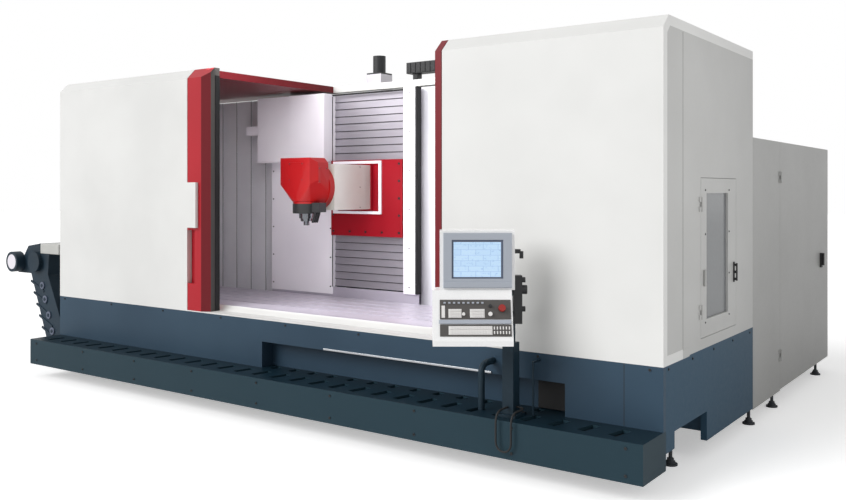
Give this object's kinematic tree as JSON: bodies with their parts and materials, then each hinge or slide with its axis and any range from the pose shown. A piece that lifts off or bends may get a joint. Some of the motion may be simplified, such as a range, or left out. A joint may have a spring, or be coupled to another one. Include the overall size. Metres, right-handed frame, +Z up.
{
  "type": "travelling-column machining centre",
  "caption": "Enclosed machining centre with a travelling column, a horizontal ram and a vertical spindle head, sliding front doors, side doors, a swivelling control unit and a chip conveyor.",
  "frame": {"origin": "on the floor, under the middle of the whole machine", "axes": "+X along the machine to its cabinet end, +Y from the operator's side to the back, +Z up"},
  "size_m": [6.85, 4.9968, 3.064],
  "materials": {
    "base_blue": "satin",
    "cover_white": "satin",
    "roof_red": "satin",
    "door_red": "satin",
    "saddle_red": "gloss",
    "head_red": "gloss",
    "cabinet_grey": "satin",
    "conveyor_dark": "satin",
    "steel": "satin",
    "table_steel": "satin",
    "slat_steel": "satin",
    "cast_grey": "painted",
    "black_plastic": "matte",
    "shell_white": "satin",
    "bezel_grey": "satin",
    "window": "clear",
    "foot_dark": "matte",
    "cable_black": "matte"
  },
  "bodies": {
    "frame": {"bed_base": "base_blue", "rear_bed": "base_blue", "bed_rails": "steel", "front_skirt": "base_blue", "recess_panel": "base_blue", "right_skirt": "base_blue", "left_skirt": "base_blue", "front_step": "base_blue", "levelling_feet": "foot_dark", "work_floor": "table_steel", "machine_table": "table_steel", "front_sill": "cover_white", "left_front_cover": "cover_white", "left_end_cover": "cover_white", "left_roof": "roof_red", "right_front_cover": "cover_white", "right_end_cover": "cover_white", "right_roof": "cover_white", "top_beam": "cover_white", "x_cover_left": "slat_steel", "x_cover_right": "slat_steel", "rear_guard": "cover_white", "cabinet_body": "cabinet_grey", "conveyor_body": "conveyor_dark", "conveyor_head": "conveyor_dark", "pendant_post": "base_blue", "coolant_pipe": "base_blue", "post_cable": "cable_black"},
    "column": {"column": "cast_grey", "column_shield": "cover_white", "magazine_cover": "cover_white", "z_motor": "black_plastic", "cable_duct": "black_plastic", "upper_slats": "slat_steel", "lower_slats": "slat_steel"},
    "saddle": {"saddle": "saddle_red", "ram_frame": "cover_white"},
    "ram": {"ram": "cast_grey"},
    "head": {"head_body": "head_red", "coolant_nozzles": "black_plastic"},
    "spindle": {"spindle": "steel"},
    "left_door": {"left_door_leaf": "cover_white", "left_door_edge": "door_red", "left_door_handle": "cover_white"},
    "right_door": {"right_door_leaf": "cover_white", "right_door_edge": "door_red"},
    "side_door": {"side_door": "cover_white", "side_window": "window", "side_handle": "black_plastic"},
    "cabinet_door": {"cabinet_door": "cabinet_grey", "cabinet_lock": "black_plastic"},
    "pendant": {"pendant_box": "shell_white", "pendant_screen": "bezel_grey", "pendant_console": "shell_white", "handwheel": "black_plastic"}
  },
  "joints": [
    {"name": "column_x", "type": "slide", "parent": "frame", "child": "column", "axis": [1, 0, 0], "range_m": [-0.75, 1.3], "deforming": ["x_cover_left", "x_cover_right"]},
    {"name": "saddle_z", "type": "slide", "parent": "column", "child": "saddle", "axis": [0, 0, 1], "range_m": [-0.3, 0.35], "deforming": ["upper_slats", "lower_slats"]},
    {"name": "ram_y", "type": "slide", "parent": "saddle", "child": "ram", "axis": [0, 1, 0], "range_m": [-0.45, 0.33]},
    {"name": "head_turn", "type": "hinge", "parent": "ram", "child": "head", "pos_m": [-0.126, -0.85093, 1.74], "axis": [0, 1, 0], "range_deg": [-90, 90]},
    {"name": "spindle_turn", "type": "hinge", "parent": "head", "child": "spindle", "pos_m": [-0.126, -0.98843, 1.47], "axis": [0, 0, 1], "continuous": true},
    {"name": "left_door_slide", "type": "slide", "parent": "frame", "child": "left_door", "axis": [1, 0, 0], "range_m": [0, 1.1245]},
    {"name": "right_door_slide", "type": "slide", "parent": "frame", "child": "right_door", "axis": [-1, 0, 0], "range_m": [0, 1.1245]},
    {"name": "side_door_hinge", "type": "hinge", "parent": "frame", "child": "side_door", "pos_m": [3.373, -1.16213, 0.787], "axis": [0, 0, -1], "range_deg": [0, 110]},
    {"name": "cabinet_door_hinge", "type": "hinge", "parent": "frame", "child": "cabinet_door", "pos_m": [3.373, 0.74087, 0.13], "axis": [0, 0, -1], "range_deg": [0, 110]},
    {"name": "pendant_swivel", "type": "hinge", "parent": "frame", "child": "pendant", "pos_m": [2.462, -1.95063, 0.985], "axis": [0, 0, 1], "range_deg": [-55, 50]}
  ]
}
